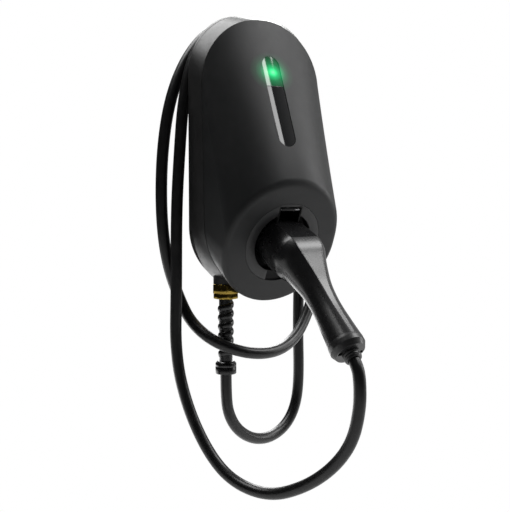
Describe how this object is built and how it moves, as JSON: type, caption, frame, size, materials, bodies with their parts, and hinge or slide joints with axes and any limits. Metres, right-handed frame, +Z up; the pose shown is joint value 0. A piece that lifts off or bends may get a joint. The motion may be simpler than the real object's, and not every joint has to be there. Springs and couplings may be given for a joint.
{
  "type": "electric vehicle wall charger",
  "caption": "Wall-hung vehicle charger with a rounded housing, lit status strip, sunk holster and a tethered cable ending in a handled connector.",
  "frame": {"origin": "middle of the four wall screws, on the wall plane at the bracket's back", "axes": "+Z up, the front faces -Y and the wall is at y = 0"},
  "size_m": [0.2177, 0.2448, 0.545],
  "materials": {
    "bracket": "zinc-plated sheet",
    "steel_screw": "zinc-plated",
    "black_screw": "blackened steel",
    "housing": "fine textured grey",
    "cover": "fine textured anthracite",
    "seal": "soft black",
    "lens": "polished smoked black",
    "guide": "clear light guide",
    "board": "green solder mask",
    "switch": "black moulding",
    "holster": "black moulding",
    "spring": "bright wire",
    "relay": "black block",
    "supply": "yellow taped core",
    "terminal": "light grey moulding",
    "brass": "plated brass",
    "sleeve": "ribbed black",
    "cable": "satin black",
    "connector": "satin black",
    "contact": "silvered"
  },
  "bodies": {
    "base": {"wall_bracket": "bracket", "fixing_screws": "steel_screw", "rear_housing": "housing", "supply_grommet": "seal", "housing_gasket": "seal", "front_cover": "cover", "cover_screws": "steel_screw", "window_lens": "lens", "light_guide": "guide", "led_board": "board", "button_switch": "switch", "holster_cup": "holster", "holster_ring": "holster", "hinge_pin": "spring", "flap_spring": "spring", "main_board": "board", "board_screws": "steel_screw", "mains_relay": "relay", "power_supply": "supply", "current_sensor": "relay", "radio_board": "board", "terminal_block": "terminal", "gland_body": "brass", "gland_seal": "seal", "gland_nut": "brass", "strain_relief_sleeve": "sleeve", "sleeve_collar": "sleeve", "cable_in_gland": "cable", "charging_cable": "cable", "plug_shell": "connector", "plug_nose": "connector", "plug_contacts": "contact", "plug_end_cap": "connector", "cap_screws": "black_screw", "plug_cable_nut": "connector"},
    "button": {"status_button": "lens"},
    "flap": {"latch_flap": "holster"}
  },
  "joints": [
    {"name": "button_press", "type": "slide", "parent": "base", "child": "button", "axis": [0, 0.9271, -0.3749], "range_m": [0, 0.0008], "stiffness_N_per_m": 300, "springref_m": -0.001},
    {"name": "flap_hinge", "type": "hinge", "parent": "base", "child": "flap", "pos_m": [0, -0.1095, -0.0727], "axis": [1, 0, 0], "range_deg": [0, 25], "stiffness_Nm_per_rad": 0.01, "springref_deg": -20.05}
  ]
}
